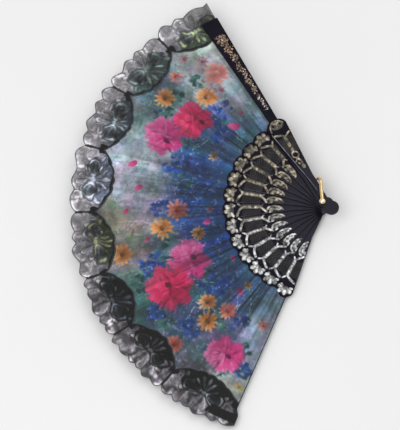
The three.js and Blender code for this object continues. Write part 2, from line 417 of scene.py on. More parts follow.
def look_from(azimuth, elevation, distance, target):
    a, e = radians(azimuth), radians(elevation)
    back = Vector((sin(a) * cos(e), -cos(a) * cos(e), sin(e)))
    data = bpy.data.cameras.new("camera")
    data.sensor_width = 36
    data.lens = LENS
    data.clip_end = 50
    camera = bpy.data.objects.new("camera", data)
    bpy.context.scene.collection.objects.link(camera)
    camera.location = Vector(target) + back * distance
    camera.rotation_euler = (-back).to_track_quat("-Z", "Y").to_euler()
    bpy.context.scene.camera = camera


def softbox(name, place, size, watts, target=(0, 0.11, 0)):
    data = bpy.data.lights.new(name, "AREA")
    data.shape, data.size, data.energy = "SQUARE", size, watts
    light = bpy.data.objects.new(name, data)
    bpy.context.scene.collection.objects.link(light)
    light.location = place
    light.rotation_euler = (Vector(place) - Vector(target)).to_track_quat("Z", "Y").to_euler()


def studio():
    look_from(AZIMUTH, ELEVATION, DISTANCE, TARGET)
    softbox("key_light", (-0.7, 0.9, 2.0), 1.8, 24)
    softbox("fill_light", (0.8, -0.7, 1.9), 1.8, 10)
    world = bpy.data.worlds.new("studio")
    world.use_nodes = True
    background = world.node_tree.nodes["Background"]
    background.inputs["Color"].default_value = (1, 1, 1, 1)
    background.inputs["Strength"].default_value = 0.6
    bpy.context.scene.world = world
    bpy.context.scene.view_settings.view_transform = "Standard"
    corners = [(FLOOR_HALF * x, FLOOR_HALF * y, 0) for x, y in ((-1, -1), (1, -1), (1, 1), (-1, 1))]
    floor = mesh_object("floor", corners, [(0, 1, 2, 3)])
    m = Nodes("floor", Roughness=0.9)
    m.drive("Base Color", m.ramp(m.noise(3.0), [(0.3, 0.80), (0.7, 0.82)]))
    floor.data.materials.append(m.material)


studio()


# ---------------- the printed picture
PALE_PINK, PINK, DEEP_PINK = (222, 136, 178), (198, 50, 116), (120, 18, 72)
ROSE, RED_PINK, WINE = (222, 74, 112), (196, 28, 82), (112, 8, 44)
GREENS = [(44, 100, 88), (18, 50, 52), (60, 112, 98)]
BLUES = [(26, 58, 138), (30, 74, 158), (18, 42, 104), (58, 92, 168), (20, 64, 104)]
PALE_BLUES = [(110, 136, 196), (160, 180, 220)]
TWIGS = [(72, 86, 108), (104, 112, 130), (214, 222, 232)]
BUD_COLOURS = (176, 28, 88), (214, 84, 134)
GORGE_SHADE, OUTER_SHADE = np.array([0.66, 0.72, 0.76]), np.array([0.885, 0.87, 0.90])
TWIG_COUNT, DAB_COUNT = 110, 150

# Ground colours of the print: distance from the rivet in mm, angle in degrees, colour
GROUND = [
    (190, 32, (196, 204, 196)), (150, 31, (162, 174, 182)), (118, 33, (142, 154, 164)),
    (176, 38, (166, 168, 172)), (165, 46, (118, 138, 142)), (190, 50, (76, 92, 102)),
    (196, 58, (110, 136, 146)), (190, 64, (150, 176, 180)), (134, 50, (62, 84, 150)),
    (114, 52, (66, 94, 128)), (100, 42, (84, 110, 138)), (196, 71, (202, 212, 224)),
    (176, 73, (182, 192, 206)), (182, 81, (204, 208, 224)), (152, 79, (118, 130, 148)),
    (126, 78, (30, 56, 122)), (98, 70, (40, 80, 124)), (98, 84, (20, 56, 116)),
    (100, 98, (26, 60, 124)), (122, 90, (46, 76, 142)), (164, 87, (160, 158, 172)),
    (192, 92, (140, 142, 118)), (176, 98, (122, 122, 112)), (192, 104, (130, 120, 126)),
    (150, 103, (70, 98, 112)), (112, 108, (34, 66, 132)), (192, 111, (84, 134, 130)),
    (196, 118, (58, 88, 96)), (128, 117, (40, 84, 96)), (110, 123, (48, 78, 122)),
    (186, 125, (72, 84, 104)), (174, 130, (62, 84, 122)), (192, 138, (88, 94, 106)),
    (160, 140, (60, 72, 96)), (122, 139, (70, 88, 134)), (98, 140, (66, 90, 130)),
    (148, 151, (150, 162, 188)), (132, 150, (134, 138, 152)), (194, 150, (152, 168, 158)),
    (174, 140, (84, 88, 112)), (104, 152, (130, 142, 156)), (210, 60, (120, 140, 140)),
    (210, 100, (110, 112, 110)), (210, 140, (90, 96, 100)),
]
# Flowers: distance and angle, radius in mm, colours from the heart to the rim, seed, the side in degrees
# where the petals pale, and the place of the dark eye in radii
PEONIES = [
    (163, 61.5, 19, (DEEP_PINK, PINK, PALE_PINK), 3, 60, (-0.3, -0.1)),
    (148, 51.5, 18, (WINE, RED_PINK, ROSE), 5, 90, (-0.15, -0.45)),
    (134, 110.5, 20, (DEEP_PINK, PINK, PALE_PINK), 8, 40, (0.1, -0.2)),
    (162, 117, 22, (WINE, RED_PINK, ROSE), 11, 70, (0.12, 0.1)),
    (172, 145.5, 18, (DEEP_PINK, PINK, PALE_PINK), 14, 120, (-0.1, -0.15)),
]
ORANGE = ((120, 62, 16), (222, 126, 44), (240, 200, 138))
CORAL = ((150, 44, 26), (216, 92, 66), (238, 166, 138))
SOFT_PINK = ((150, 74, 96), (186, 112, 126), (196, 160, 168))
YELLOW = ((170, 120, 30), (214, 182, 70), (230, 216, 150))
PALE_CORAL = ((206, 122, 104), (214, 116, 104), (232, 178, 162))
DAISIES = [
    (183, 50.5, 10.5, ORANGE), (154, 41.8, 11.5, ORANGE), (166, 33.4, 13.5, PALE_CORAL),
    (112, 61, 5.5, ORANGE), (135, 89, 11, CORAL), (150.5, 95.7, 12, ORANGE), (104.5, 89, 4, CORAL),
    (118, 100.5, 7.5, ORANGE), (192, 101.8, 11, ORANGE), (143, 128.8, 9.5, ORANGE),
    (135.5, 136.6, 9.5, CORAL), (156, 134, 11, ORANGE), (194, 132, 9.5, CORAL),
    (104.5, 135.8, 4.5, ORANGE), (130, 152, 6, CORAL), (195, 153.4, 5, YELLOW), (197, 38, 6, SOFT_PINK),
    (189, 43.5, 7, CORAL), (184, 34.5, 7, SOFT_PINK), (150, 36, 5, SOFT_PINK),
]
# Buds and sprays: distance and angle, radius in mm
BUDS = [
    (113.6, 42.8, 5.0), (181, 73.5, 4.2), (172, 81, 3.4), (182.5, 89, 2.6), (108, 95.3, 3.4),
    (113.5, 134.8, 3.4), (97.6, 119, 3.0), (120, 36, 2.4), (166, 99, 2.6),
]
BLUE_SPRAYS = [
    (134, 43, 11), (145, 70.5, 9), (128, 68, 11), (108, 109, 9), (165, 107.8, 11), (188, 122, 7),
    (172, 131.5, 9), (131, 123.3, 9), (137, 142.4, 9), (180, 152, 8), (122, 85, 9), (150, 88, 7),
    (120, 128, 8), (106, 78, 7), (116, 50, 8), (176, 108, 7),
]
GREEN_SPRAYS = [
    (176, 54, 9), (170, 40, 7), (126, 46, 8), (132, 76, 9), (150, 104, 9), (186, 112, 8), (128, 116, 9),
    (184, 126, 7), (150, 136, 8), (186, 147, 7), (140, 60, 7), (160, 150, 6), (174, 48, 6),
]


class Picture:
    """Colours, in sRGB, at points of the open cloth. Later strokes cover earlier ones."""

    def __init__(self, x, y):
        self.x, self.y = x, y
        self.rgb = np.zeros((len(x), 3))

    def near(self, cx, cy, reach):
        """Indices of the points round a place, so that a stroke works on few of them."""
        return np.nonzero((np.abs(self.x - cx) < reach) & (np.abs(self.y - cy) < reach))[0]

    def cover(self, where, amount, colour):
        amount = amount[:, None]
        self.rgb[where] = self.rgb[where] * (1 - amount) + np.asarray(colour, float) * amount

    def fade(self, amount, colour):
        """Draw every point towards a colour, by an amount of its own."""
        self.rgb += amount[:, None] * (np.array(colour) - self.rgb)

    def shift(self, amount, colour):
        self.rgb += amount[:, None] * np.array(colour)

    def ground(self):
        """Blurred patches of the ground colours, in uneven painted light and with painted shade along dark
        crumples.
        """
        x, y = self.x, self.y
        wander, spread = 16, 10.0
        wandered_x = x + wander * (cloudy(x, y, 18, 50) - 0.5)
        wandered_y = y + wander * (cloudy(x, y, 18, 60) - 0.5)
        total = np.zeros(len(x))
        for r, angle, colour in GROUND:
            cx, cy = polar(r, radians(angle))
            distance = (wandered_x - cx) ** 2 + (wandered_y - cy) ** 2
            weight = np.exp(-distance / (2 * spread ** 2)) + 1e-9
            self.rgb += weight[:, None] * np.array(colour, float)
            total += weight
        self.rgb /= total[:, None]
        self.rgb *= (0.46 + 0.56 * cloudy(x, y, 6.5, 70) + 0.42 * cloudy(x, y, 17, 75))[:, None]
        # painted shade: blue-grey lines along the cloth's crumples, in patches
        crumple_shade = np.exp(-((cloudy(x, y, 9, 110) - 0.5) / 0.035) ** 2)
        self.fade(crumple_shade * (0.3 * smooth(noise(x, y, 14, 115) * 2 - 0.5)), (52, 66, 92))
        self.shift(cloudy(x, y, 9, 80) - 0.5, (26, 6, -14))
        self.shift(cloudy(x, y, 12, 85) - 0.45, (-34, 26, -12))

    def flecks(self, strength):
        """Small pale and dark marks, as in a print on a coarse weave."""
        fine = noise(self.x, self.y, 1.5, 101)
        coarse = noise(self.x, self.y, 3.4, 102)
        pale = smooth((fine * 0.6 + coarse * 0.5 - 0.66) / 0.24)
        self.fade(strength * pale, (190, 204, 220))
        dark = smooth((0.34 - fine * 0.5 - noise(self.x, self.y, 4.5, 103) * 0.5) / 0.22)
        self.fade(0.6 * strength * dark, (34, 46, 70))

    def blob(self, cx, cy, length, width, angle, inner, outer, strength=0.9, edge=0.32):
        """An oval whose colour runs from inner at its base to outer at its tip."""
        where = self.near(cx, cy, max(length, width) * 1.25)
        dx, dy = self.x[where] - cx, self.y[where] - cy
        along, across = dx * cos(angle) + dy * sin(angle), dy * cos(angle) - dx * sin(angle)
        reach = np.sqrt((along / length) ** 2 + (across / width) ** 2)
        reach = reach + 0.4 * (noise(dx + cx, dy + cy, 2.2, 5) - 0.5)
        t = smooth(along / length * 0.5 + 0.5)[:, None]
        colour = np.asarray(inner) * (1 - t) + np.asarray(outer) * t
        self.cover(where, strength * smooth((1.1 - reach) / edge), colour)

    def peony(self, r, angle, radius, colours, seed, lit, heart):
        """Overlapping petals, paler on the lit side, with a dark eye at heart."""
        cx, cy = polar(r, radians(angle))
        lit = radians(lit)
        rng = np.random.default_rng(seed)
        dark, middle, light = (np.array(c, float) for c in colours)
        self.blob(cx, cy, radius * 0.86, radius * 0.8, 0.4, middle * 0.8, middle)
        for out, size, count in ((0.58, 0.50, 7), (0.40, 0.42, 5), (0.2, 0.30, 3)):
            turn = rng.uniform(0, pi)
            for k in rng.permutation(count):
                a = turn + 2 * pi * k / count + rng.uniform(-0.2, 0.2)
                facing = 0.5 + 0.5 * cos(a - lit)
                reach = radius * out * rng.uniform(0.88, 1.08)
                rim = middle + (light - middle) * facing ** 1.3 * rng.uniform(0.5, 1.15)
                base = middle + (dark - middle) * rng.uniform(0.3, 1.0) * (1.15 - facing)
                long = radius * size
                wide = long * rng.uniform(0.6, 0.95)
                self.blob(*beyond(cx, cy, reach, a), long, wide, a, base, rim, 0.85)
        for _ in range(26):  # streaks
            a, reach = rng.uniform(0, 2 * pi), radius * rng.uniform(0.15, 0.9)
            facing = 0.5 + 0.5 * cos(a - lit)
            tone = light if rng.random() < 0.2 + 0.6 * facing else dark
            self.blob(*beyond(cx, cy, reach, a), radius * rng.uniform(0.15, 0.36), radius * 0.06,
                      a + rng.uniform(-0.3, 0.3), tone, tone, 0.45, 0.7)
        tips = 15
        for k in range(tips):  # pale tips along the lit side of the rim
            a = lit + (k - tips // 2) * 0.21 + rng.uniform(-0.06, 0.06)
            reach = radius * rng.uniform(0.76, 0.94)
            self.blob(*beyond(cx, cy, reach, a), radius * rng.uniform(0.16, 0.26), radius * 0.075, a,
                      middle, np.minimum(light * 1.08, 245), 0.7, 0.6)
        eye = cx + radius * heart[0], cy + radius * heart[1]
        self.blob(*eye, radius * 0.17, radius * 0.12, 0.8, dark * 0.45, dark * 0.7, 0.85)

    def daisy(self, r, angle, radius, colours, seed):
        """A ring of narrow petals, paler towards their tips on the lit side."""
        cx, cy = polar(r, radians(angle))
        rng = np.random.default_rng(seed)
        heart, middle, tip = (np.array(c, float) for c in colours)
        count = 12 if radius > 7 else 8
        lit = 1.9
        turn = rng.uniform(0, pi)
        for k in range(count):
            a = turn + 2 * pi * k / count + rng.uniform(-0.08, 0.08)
            reach = radius * rng.uniform(0.5, 0.6)
            facing = 0.5 + 0.5 * cos(a - lit)
            rim = middle + (tip - middle) * np.clip(facing * rng.uniform(0.5, 1.6), 0, 1)
            base = middle * (0.62 + 0.3 * facing) * rng.uniform(0.82, 1.08)
            self.blob(*beyond(cx, cy, reach, a), radius * rng.uniform(0.42, 0.54),
                      radius * rng.uniform(0.15, 0.23), a, base, rim, 0.84, 0.62)
        self.blob(cx, cy, radius * 0.24, radius * 0.2, 0, heart * 0.7, heart)

    def spray(self, r, angle, radius, seed, kinds, count, size):
        """A loose cluster of small leaves or florets, whose colours are kinds."""
        cx, cy = polar(r, radians(angle))
        rng = np.random.default_rng(seed)
        for _ in range(count):
            a, reach = rng.uniform(0, 2 * pi), radius * np.sqrt(rng.uniform(0, 1)) * 1.15
            kind = np.array(kinds[rng.integers(len(kinds))], float)
            long, wide = size * rng.uniform(0.6, 1.3), size * rng.uniform(0.35, 0.8)
            self.blob(*beyond(cx, cy, reach, a), long, wide, rng.uniform(0, pi),
                      kind * 0.75, np.minimum(kind * 1.2, 250), 0.7, 0.6)

    def twig(self, rng):
        """A thin crooked line of short strokes, somewhere on the cloth."""
        colour = TWIGS[rng.integers(len(TWIGS))]
        cx, cy = polar(rng.uniform(112, 206), radians(rng.uniform(30, 152)))
        heading = rng.uniform(0, 2 * pi)
        for _ in range(rng.integers(3, 7)):
            long = rng.uniform(1.6, 3.4)
            heading += rng.uniform(-0.6, 0.6)
            self.blob(cx, cy, long, 0.42, heading, colour, colour, 0.62, 0.6)
            cx, cy = beyond(cx, cy, 1.7 * long, heading)

    def dab(self, rng):
        """A stroke of the ground's own colour, lighter or darker, somewhere on the cloth."""
        r, angle = rng.uniform(95, 210), stick_angle(rng.uniform(0, STICKS - 1))
        tone = rng.uniform(0.55, 1.35)
        cx, cy = polar(r, angle)
        here = self.near(cx, cy, 2.0)
        if len(here):
            colour = np.minimum(self.rgb[here].mean(0) * tone, 235)
            self.blob(cx, cy, rng.uniform(1.5, 5), rng.uniform(0.5, 1.6), rng.uniform(0, pi),
                      colour, colour * 1.1, 0.6)

    def paint(self):
        self.ground()
        self.flecks(0.26)
        twigs, dabs = np.random.default_rng(91), np.random.default_rng(7)
        for _ in range(TWIG_COUNT):
            self.twig(twigs)
        for _ in range(DAB_COUNT):
            self.dab(dabs)
        for k, place in enumerate(GREEN_SPRAYS):
            self.spray(*place, 200 + k, GREENS, 18, 3.4)
        for k, (r, angle, radius) in enumerate(BLUE_SPRAYS):
            self.spray(r, angle, radius, 300 + k, BLUES, 22, 3.8)
            self.spray(r, angle, radius * 0.9, 400 + k, PALE_BLUES, 7, 1.2)
        for k, flower in enumerate(DAISIES):
            self.daisy(*flower, 500 + k)
        for flower in PEONIES:
            self.peony(*flower)
        for r, angle, radius in BUDS:
            turn = radians(angle)
            self.blob(*polar(r, turn), radius * 1.25, radius * 0.8, turn + 0.7, *BUD_COLOURS)
        self.flecks(0.1)
        outwards = smooth((np.hypot(self.x, self.y) - 104) / 46)[:, None]
        self.rgb *= GORGE_SHADE * (1 - outwards) + OUTER_SHADE * outwards
        return np.clip(self.rgb, 6, 240)


# ---------------- the leaf, one gore between each two sticks
def gore_angles(i, columns):
    """Angles across gore i, from stick i to stick i + 1, and u, which is 0 and 1 on the two sticks."""
    first = REAR_MARGIN / FOLD if i == 0 else 0
    last = FRONT_MARGIN / FOLD if i == STICKS - 2 else 0
    u = np.linspace(-first, 1 + last, columns)
    return u, stick_angle(i) - u * FOLD


def flat_share(r):
    """Share of a gore's width that lies flat on each of its ribs."""
    return np.clip(RIB_FLAT / (FOLD * r), 0, 0.2)


def zigzag(u, r):
    """The two folds of a gore: 0 on the ribs, 1 at the first fold and -1 at the second."""
    flat = flat_share(r)
    rise = np.clip((u - flat) / (FIRST_FOLD - flat), 0, 1)
    fall = np.clip((u - FIRST_FOLD) / (1 - 2 * FIRST_FOLD), 0, 1)
    back = np.clip((u - 1 + FIRST_FOLD) / (FIRST_FOLD - flat), 0, 1)
    return rise - 2 * fall + back


def gore_height(i, u, r):
    """By the shoulders the cloth lies flat up to the next stick, and climbs there. Further out it rises
    evenly from rib to rib, with a zigzag of folds that grows towards the outer edge."""
    t = np.clip(u, 0, 1)
    tucked = smooth((t - 0.5) / 0.34)
    share = smooth((r - TUCK_END) / 30)
    low, high = leaf_height(i), leaf_height(i + 1)
    climb = np.clip((t - flat_share(r)) / (1 - 2 * flat_share(r)), 0, 1)
    fold = LOW_PLEATS.get(i, PLEAT_RISE) * zigzag(t, r) * smooth((r - FOLDS_START) / 95)
    return low + (high - low) * (tucked * (1 - share) + climb * share) + fold


def pleat_relief(r, angle):
    """Fine radial creasing for shading, in millimetres."""
    return (0.5 * cloudy(angle * 900, r, 9, 90) + 0.35 * noise(angle * 2600, r, 14, 95)) * r / 200


def pleat_shade(u, r, angle):
    """Darker flanks and creases of the pleats, and the long streaks that run out from the gorge."""
    gorge = 1 - smooth((r - FOLDS_START) / 70)
    flank = -(0.09 + 0.04 * gorge) * np.tanh(3.0 * np.cos(2 * pi * u))
    place = u - FIRST_FOLD + 0.03 * (noise(angle * 120, r, 20, 93) - 0.5)
    away = (place - np.round(place * 2) / 2) * FOLD * r
    crease = (0.12 + 0.26 * gorge) * np.exp(-(away / 1.1) ** 2)
    crease = crease * smooth(noise(angle * 200, r, 24, 94) * 1.6 - 0.2)
    fine_streak = 0.35 * (noise(angle * 2300, r * 0.6, 12, 97) - 0.5)
    streak = noise(angle * 950, r * 0.5, 14, 96) - 0.5 + fine_streak
    streak = streak * (0.45 + 0.55 * smooth((np.degrees(angle) - 34) / 12))
    return np.clip(1 + flank - crease + (0.12 + 0.32 * gorge) * streak, 0.25, 1.6)


def leaf_inner_edge(i, u):
    """The leaf ends under the sticks' lips, and short of the rear guard's shoulder."""
    if i:
        return np.full_like(u, LEAF_INNER)
    return LEAF_INNER + (LEAF_OVER_GUARD - LEAF_INNER) * (1 - smooth(u / 0.45))


def with_alpha(colour):
    return np.hstack([colour, np.ones((len(colour), 1))])


def make_leaf(i):
    columns = int(FOLD * LEAF_OUTER / LEAF_STEP) + 1
    rows = int((LEAF_OUTER - LEAF_INNER) / LEAF_STEP) + 1
    u, angle = gore_angles(i, columns)
    t = np.linspace(0, 1, rows)[:, None]
    r = leaf_inner_edge(i, u) * (1 - t) + LEAF_OUTER * t
    u, angle = np.broadcast_to(u, r.shape), np.broadcast_to(angle, r.shape)
    if i == 0:
        over = (between(REAR_BLADE_HALF, BLADE_SPAN, r) - LEAF_INSIDE_GUARD) / r
        angle = np.where(u < 0, stick_angle(0) + over * (u / u.min()), angle)
    x, y = (values.ravel() for values in polar(r, angle))
    # the print times the pleats' painted shade: darker flanks, creases and streaks
    print_and_pleat_shade = Picture(x, y).paint() * pleat_shade(u, r, angle).reshape(-1, 1)
    colour = with_alpha(linear(print_and_pleat_shade))
    front = np.stack([x, y, gore_height(i, u, r).ravel()], 1)
    back = front - [0, 0, CLOTH_THICK]
    faces = grid_faces(rows, columns, flip=True) + grid_faces(rows, columns, start=rows * columns)
    relief = pleat_relief(r, angle).ravel()
    gore = mesh_object(f"leaf_gore_{i + 1:02d}", np.vstack([front, back]), faces,
                       [("print", np.vstack([colour, colour])), ("relief", np.hstack([relief, relief]))],
                       [SATIN, SATIN_BACK], np.repeat([0, 1], len(faces) // 2))
    bend(gore)
    return gore


def bend(piece):
    """Bakes the piece's placement into its mesh points."""
    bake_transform(piece)


# ---------------- the lace
def lobe_of(angle):
    """Which lobe an angle is in, and how far across it, from 0 to 1."""
    edges = np.radians(CUSPS)
    k = np.clip(np.searchsorted(edges, angle) - 1, 0, len(edges) - 2)
    return k, np.clip((angle - edges[k]) / (edges[k + 1] - edges[k]), 0, 1)


def lace_inner_edge(angle):
    """Rounded lobes with small bumps."""
    lobe, t = lobe_of(angle)
    bumps = np.abs(np.sin(pi * (5 * t + 0.25 * np.sin(2 * pi * t + 1.3 * lobe))))
    return LACE_CUSP - LOBE_DEPTH * np.sin(pi * t) ** 0.75 - 1.3 * (bumps - 0.5) * np.sin(pi * t) ** 0.5


def scallops_at(angle):
    """Place in a lobe's row of scallops, which are of uneven width. Its whole part counts them."""
    lobe, t = lobe_of(angle)
    uneven = 0.045 * np.sin(pi * t) * np.sin(2 * pi * (1.4 * t + 0.37 * lobe))
    return LOBE_SCALLOPS[lobe] * (t + uneven)


def lace_outer_edge(angle):
    """Scallops of uneven height, with a notch between two lobes."""
    lobe, t = lobe_of(angle)
    row = scallops_at(angle)
    bulges = np.random.default_rng(44).uniform(0.55, 1.45, 64)
    bulge = bulges[(6 * lobe + np.floor(row).astype(int)) % len(bulges)] * 4 / LOBE_SCALLOPS[lobe]
    scallop = 0.5 * np.abs(np.sin(pi * row)) + 0.5 * np.sin(pi * row) ** 2
    to_side = np.minimum(t, 1 - t) * np.radians(16.5) * LACE_OUTER
    fuller = 1.6 * smooth((np.degrees(angle) - 102) / 12) * (1 - smooth((np.degrees(angle) - 146) / 8))
    notch = NOTCH_DEEP * np.exp(-(to_side / 2.6) ** 2)
    return LACE_OUTER - 3.2 + SCALLOP_HIGH * bulge * scallop - notch + fuller


# For each lobe, from the front guard's end: colours of its petals and of its ground, the light on it,
# and how far out from MOTIF_AT its ribs meet
LOBE_PETALS = np.array([
    (182, 196, 152), (136, 154, 148), (168, 180, 190), (190, 194, 214), (166, 168, 124),
    (140, 148, 162), (150, 148, 156), (158, 162, 166),
], float)
LOBE_GROUND = np.array([
    (58, 76, 58), (52, 70, 68), (46, 58, 68), (80, 88, 106), (42, 48, 26), (10, 13, 20), (11, 11, 15),
    (24, 26, 30),
], float)
LOBE_LIGHT = np.array([0.98, 0.98, 1.02, 1.2, 0.94, 0.84, 0.84, 0.94])
LOBE_HEARTS = np.array([1.0, 4.5, -1.5, 4.0, 0.5, 3.0, 1.0, 2.0])
PLAIN_NET, PLEAT_HIGHLIGHT, PLEAT_SHADE, OUTLINE = (116, 112, 119), (216, 212, 218), (80, 76, 83), (46, 43, 48)
PALE_THREAD, GREY_THREAD = (196, 192, 200), (120, 116, 123)
MOTIF_AT = 212.0

# The edge that each cord follows, how far outside it, and the cord's radius and flatness
CORD_RUNS = ((lace_inner_edge, 0.5, 0.55, 0.4), (lace_outer_edge, -0.3, 0.38, 0.6))
CORD_POINTS = 170
CORD_RISE = 0.12


class Lace:
    """Thread colour (sRGB), cover and relief at points of the open lace. In each lobe s runs along the
    edge and w outwards, in millimetres from MOTIF_AT, both warped like puckered cloth."""

    def __init__(self, r, angle):
        self.r, self.angle = r, angle
        self.lobe, self.t = lobe_of(angle)
        edges = np.radians(CUSPS)
        centre = (edges[self.lobe] + edges[self.lobe + 1]) / 2
        self.half = (edges[self.lobe + 1] - edges[self.lobe]) / 2 * MOTIF_AT
        rng = np.random.default_rng(31)
        lean = rng.uniform(-0.12, 0.12, len(CUSPS))[self.lobe]
        shift = rng.uniform(-1.2, 1.2, len(CUSPS))[self.lobe]
        s, w = (angle - centre) * r, r - MOTIF_AT
        place = s + 300 * self.lobe
        s = s + 4.2 * (noise(place, w, 11.0, 11) - 0.5) + 1.8 * (noise(place, w, 4.5, 13) - 0.5)
        w = w + 3.6 * (noise(place + 90, w, 10.0, 12) - 0.5) + 1.6 * (noise(place, w, 4.2, 14) - 0.5)
        self.s = s * np.cos(lean) - w * np.sin(lean) + shift
        self.w = w * np.cos(lean) + s * np.sin(lean)
        self.colour = np.tile(np.array(PLAIN_NET, float), (len(r), 1))
        self.cover = np.full(len(r), 0.6)
        self.relief = np.zeros(len(r))
        self.outer = lace_outer_edge(angle)
        self.inner = lace_inner_edge(angle)
        self.rear = smooth((self.lobe - 4.0) / 0.5)  # 1 on the dark lobes by the rear guard
        self.hollow = np.array([50, 56, 60]) * (1 - 0.55 * self.rear)[:, None]
        self.speckle = noise(self.s, self.w + 50, 2.6, 21) - 0.5
        self.petals = LOBE_PETALS[self.lobe]
        self.heart = LOBE_HEARTS[self.lobe]

    def grain(self, size, seed):
        return noise(self.s, self.w, size, seed)

    def lay(self, amount, colour, cover, relief):
        amount = np.clip(amount, 0, 1)
        self.colour += (np.asarray(colour, float) - self.colour) * amount[:, None]
        self.cover += (cover - self.cover) * amount
        self.relief += (relief - self.relief) * amount

    def shells(self):
        """The outer scallops: each is a small pleated shell, its pleats in painted light and shade. Each has
        a pale rim, which is a painted highlight in patches, and a dark outline.
        """
        row = scallops_at(self.angle)
        pitch = 2 * self.half / LOBE_SCALLOPS[self.lobe] * self.r / MOTIF_AT
        ds = (row - np.floor(row) - 0.5) * pitch + 1.6 * (self.grain(5, 27) - 0.5)
        depth = self.outer - self.r + 1.2 * (self.grain(3.4, 28) - 0.5)
        up = 12.5 - depth
        turn, reach = np.arctan2(ds, np.maximum(up, 0.3)), np.hypot(ds, up)
        # painted light and shade across the shell's pleats
        pleats = 0.5 + 0.5 * np.cos(turn * 7 + 5 * self.grain(7, 25))
        lightness = (0.55 * pleats * smooth(reach / 9))[:, None]
        tone = np.asarray(PLEAT_SHADE) + (np.asarray(PLEAT_HIGHLIGHT) - PLEAT_SHADE) * lightness
        inside = smooth((11.0 - depth) / 4.0)
        self.lay(inside * 0.85, tone, 0.74, 0.25 + 0.35 * pleats)
        half = pitch / 2 * (1 - 0.35 * smooth((depth - 4) / 9))
        inset = np.minimum(depth, half - np.abs(ds))
        # painted highlight along the rim, in random patches
        lit = 0.15 + 0.95 * smooth(self.grain(6, 26) * 1.9 - 0.4)
        rim = smooth((inset - 0.7) / 0.5) * smooth((3.4 - inset) / 1.6) * inside
        self.lay(rim * lit * 0.75 * (1 - 0.55 * self.rear), PLEAT_HIGHLIGHT, 0.85, 0.6)
        outline = smooth((0.9 - inset) / 0.7) * smooth((8.5 - 3.0 * self.rear - depth) / 5)
        self.lay(outline * (0.2 + 0.45 * self.grain(7, 29)), OUTLINE, 0.86, 0.05)

    def oval(self, cs, cw, long, wide, angle, taper=0.0):
        """How far each point is from an oval's centre, 1 on its rim, and its place along and across it.
        taper narrows the base."""
        ds, dw = self.s - cs, self.w - cw
        along = (ds * cos(angle) + dw * sin(angle)) / long
        across = (dw * cos(angle) - ds * sin(angle)) / wide
        across = across / (1 - taper * (1 - smooth(along * 0.5 + 0.55)))
        reach = np.hypot(along, across) + 0.2 * (noise(self.s, self.w + 70, 2.6, 71) - 0.5)
        return reach, along, across

    def petal(self, cs, cw, long, wide, angle, colour, cover=0.86, taper=0.4, strength=1.0):
        reach, along, across = self.oval(cs, cw, long, wide, angle, taper)
        self.lay(strength * 0.8 * smooth((1.3 - reach) / 0.3), self.hollow, 0.9, 0.1)
        shade = 0.55 + 0.5 * smooth(along * 0.5 + 0.5) - 0.25 * np.abs(across) ** 2
        shaded = np.asarray(colour, float) * shade[:, None]
        self.lay(strength * smooth((1.05 - reach) / 0.3), shaded, cover, 0.6)

    def worked_ground(self):
        """The half towards the rivet is closely worked, and lies over the leaf."""
        ground = LOBE_GROUND[self.lobe]
        worked = smooth((7.0 - self.w - 0.012 * self.s ** 2 + 3 * self.speckle) / 5)
        self.lay(worked * 0.92, ground + 30 * self.speckle[:, None], 0.92, 0.05)

    def outer_petals(self):
        for turn, half_long in ((-1.05, 7.0), (-0.4, 6.2), (0.3, 6.6), (0.95, 7.2)):
            long = half_long * (19.0 - self.heart) / 17
            away = long + 3.6
            cs, cw, angle = away * sin(turn), away * cos(turn), pi / 2 - turn
            self.petal(cs, cw, long, 0.5 * long, angle, PALE_THREAD, 0.8, 0.5, 0.85 - 0.6 * self.rear)
            self.petal(cs * 0.96, cw * 0.96, long * 0.66, 0.27 * long, angle, GREY_THREAD, 0.76, 0.4,
                       0.9 - 0.7 * self.rear)

    def ribs(self):
        """Pale wedges on dark, fanned out from the heart towards the rivet."""
        for k, turn in enumerate((-1.02, -0.52, -0.03, 0.44, 0.96)):
            long = (12.4 + self.heart) / 2 * (1 - 0.1 * turn ** 2 + 0.06 * sin(4.0 * k))
            away = long + 2.0
            self.petal(away * sin(turn), -away * cos(turn), long, 0.3 * long, turn - pi / 2,
                       self.petals * (0.84 + 0.16 * cos(2.3 * k)), 0.92, 0.5)

    def eyes(self):
        """Two to a lobe: a dark hollow in a thin pale ring, with pale leaves beyond it."""
        patches = self.grain(4.5, 55)
        for side in (-1, 1):
            lean = mirrored(0.16, side)
            self.petal(20.5 * side, -5.0, 4.6, 3.0, mirrored(-0.9, side), self.petals * 0.7, 0.9, 0.3)
            self.petal(19.0 * side, 6.0, 4.4, 2.8, mirrored(0.8, side), (196, 190, 194), 0.84, 0.3, 0.8)
            reach, along, _ = self.oval(11.4 * side, 0.4, 10.4, 7.8, lean, 0.4)
            self.lay(smooth((1.14 - reach) / 0.14), self.hollow, 0.92, 0.1)
            ring = 0.44 + 0.24 * smooth(along) + 0.8 * (patches - 0.42)
            self.lay(smooth((1.0 - reach) / 0.22), self.petals * ring[:, None], 0.9, 0.55)
            core, _, sideways = self.oval(11.6 * side, 0.6, 6.6, 4.7, lean, 0.3)
            self.lay(smooth((1.12 - core) / 0.2), self.hollow * 1.15, 0.92, 0.2)
            streak = 0.62 + 0.5 * smooth(0.7 - np.abs(sideways - 0.2) * 1.3) + 0.6 * (patches - 0.5)
            dim = np.array([92.0, 98.0, 104.0]) * (0.5 + 0.5 * self.petals.mean(1) / 160)[:, None]
            self.lay(smooth((0.96 - core) / 0.2), dim * streak[:, None], 0.88, 0.1)

    def pleats(self):
        """The knot at the heart, and long pleats from it to the rim, in relief and in painted light and
        shade.
        """
        self.lay(smooth((2.8 - np.hypot(self.s, self.w)) / 1.2), self.petals * 0.55, 0.95, 0.7)
        turn = np.arctan2(self.s, np.maximum(self.w, 0.5))
        ray_shade_and_relief = 0.5 + 0.5 * np.cos(turn * 10 + 4 * self.grain(8, 63))
        outer = smooth((self.w - 1) / 6)
